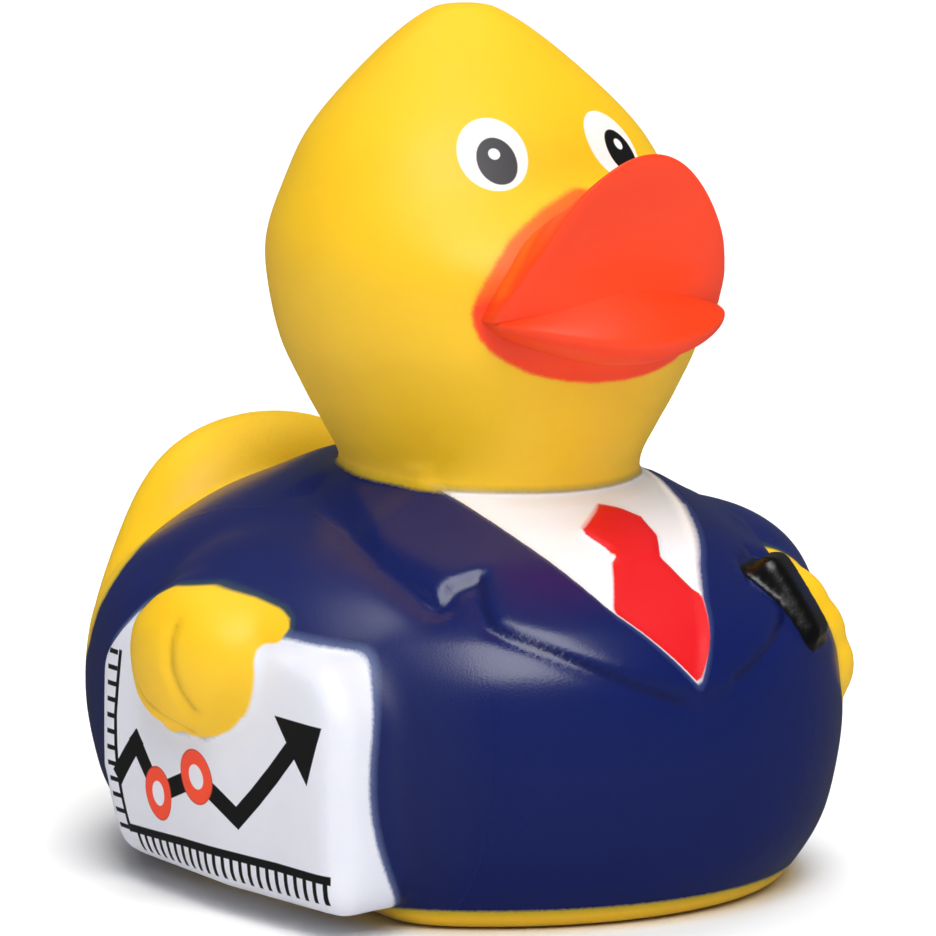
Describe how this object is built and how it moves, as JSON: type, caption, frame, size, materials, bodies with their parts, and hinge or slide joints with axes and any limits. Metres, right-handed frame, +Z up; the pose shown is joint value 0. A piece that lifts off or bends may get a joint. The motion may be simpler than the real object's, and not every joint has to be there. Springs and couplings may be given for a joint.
{
  "type": "rubber duck",
  "caption": "Hollow vinyl squeaky duck dressed in a jacket, shirt and tie, with a chart board under one arm and a telephone in the other hand.",
  "frame": {"origin": "middle of the bounding box in X and Y, on the surface that the duck stands on", "axes": "+Z up, the bill looks along -Y, the duck's right side with the board is at -X"},
  "size_m": [0.074, 0.0836, 0.085],
  "materials": {
    "vinyl": "satin soft vinyl, spray painted",
    "squeaker_plastic": "natural moulded plastic",
    "reed_film": "thin plastic film"
  },
  "bodies": {
    "root": {"duck_shell": "vinyl", "squeaker_body": "squeaker_plastic", "reed_base": "squeaker_plastic", "reed_strip": "reed_film", "reed_clamp": "squeaker_plastic"}
  },
  "joints": []
}
